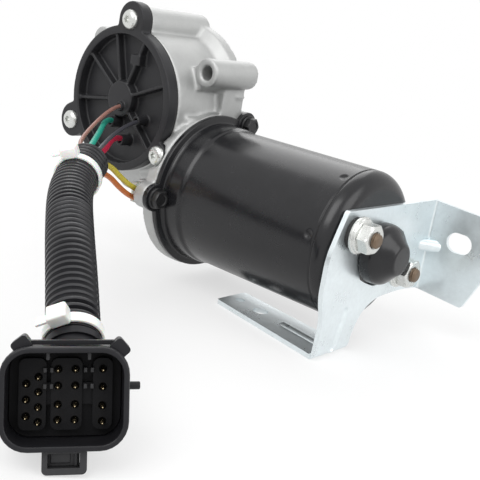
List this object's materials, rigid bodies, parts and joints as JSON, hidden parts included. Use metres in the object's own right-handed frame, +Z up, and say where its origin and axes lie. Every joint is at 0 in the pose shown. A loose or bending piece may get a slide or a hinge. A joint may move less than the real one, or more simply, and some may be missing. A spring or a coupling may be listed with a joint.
{
  "type": "transfer case shift motor",
  "caption": "Worm gear motor in a round cast case with a position sensor cover, an end bracket and a corrugated harness ending in a keyed connector, for shifting a transfer case.",
  "frame": {"origin": "on the output axis, in the plane of the case's mounting face", "axes": "+X along the motor towards its end bracket, +Y out of the mounting face along the output axis, +Z up with the bracket's foot lying flat"},
  "size_m": [0.1989, 0.2132, 0.1201],
  "materials": {
    "cast_aluminium": "as cast, blasted",
    "sintered_bronze": "sintered",
    "seal_rubber": "moulded",
    "steel": "ground",
    "shaft_steel": "machined",
    "wheel_bronze": "hobbed",
    "carrier_plastic": "moulded",
    "cover_plastic": "moulded, slight sheen",
    "gasket_rubber": "cut sheet",
    "zinc_plate": "zinc plated",
    "board": "laminate",
    "core_steel": "laminated",
    "copper": "enamelled",
    "can_paint": "satin black",
    "black_screw": "black oxide",
    "ferrite": "sintered",
    "carbon": "pressed carbon",
    "bright_zinc": "bright zinc, bluish",
    "stud_zinc": "yellowed zinc",
    "loom_plastic": "corrugated",
    "wire_brown": "wire insulation",
    "wire_green": "wire insulation",
    "wire_black": "wire insulation",
    "wire_red": "wire insulation",
    "wire_yellow": "wire insulation",
    "wire_orange": "wire insulation",
    "clear_nylon": "natural nylon",
    "white_nylon": "natural nylon",
    "connector_plastic": "moulded",
    "insert_plastic": "moulded",
    "clip_plastic": "moulded",
    "pin_brass": "tin plated"
  },
  "bodies": {
    "case": {"bracket_nuts": "bright_zinc", "bracket_studs": "stud_zinc", "brush_plate": "carrier_plastic", "brush_springs": "copper", "brushes": "carbon", "bush_retainer": "steel", "cable_tie_lower": "white_nylon", "cable_tie_upper": "white_nylon", "connector_backshell": "connector_plastic", "connector_clip": "clip_plastic", "connector_collar": "connector_plastic", "connector_insert": "insert_plastic", "connector_lock": "connector_plastic", "connector_pins": "pin_brass", "connector_shell": "connector_plastic", "cover_gasket": "gasket_rubber", "cover_screws": "zinc_plate", "field_magnets": "ferrite", "gear_housing": "cast_aluminium", "loom": "loom_plastic", "magnet_clips": "steel", "motor_can": "can_paint", "motor_gasket": "gasket_rubber", "motor_screws": "black_screw", "mounting_bracket": "bright_zinc", "output_bushing": "sintered_bronze", "output_seal": "seal_rubber", "rear_bush": "sintered_bronze", "sensor_board": "board", "sensor_cover": "cover_plastic", "shaft_bearing": "steel", "thrust_ball": "steel", "thrust_plug": "steel", "wire_black": "wire_black", "wire_brown": "wire_brown", "wire_green": "wire_green", "wire_grommet": "clear_nylon", "wire_orange": "wire_orange", "wire_red": "wire_red", "wire_yellow": "wire_yellow"},
    "armature": {"motor_shaft": "shaft_steel", "worm": "shaft_steel", "armature_core": "core_steel", "armature_windings": "copper", "commutator": "copper"},
    "output": {"drive_gear": "wheel_bronze", "output_shaft": "shaft_steel", "gear_retainer": "steel", "sensor_wiper": "carrier_plastic"}
  },
  "joints": [
    {"name": "armature_spin", "type": "hinge", "parent": "case", "child": "armature", "pos_m": [0, -0.014, -0.0352], "axis": [1, 0, 0], "range_deg": [-2200, 2640]},
    {"name": "output_turn", "type": "hinge", "parent": "case", "child": "output", "pos_m": [0, 0, 0], "axis": [0, 1, 0], "range_deg": [-50, 60]}
  ],
  "couplings": [
    {"joint": "output_turn", "follows": "armature_spin", "ratio": 0.022727}
  ]
}
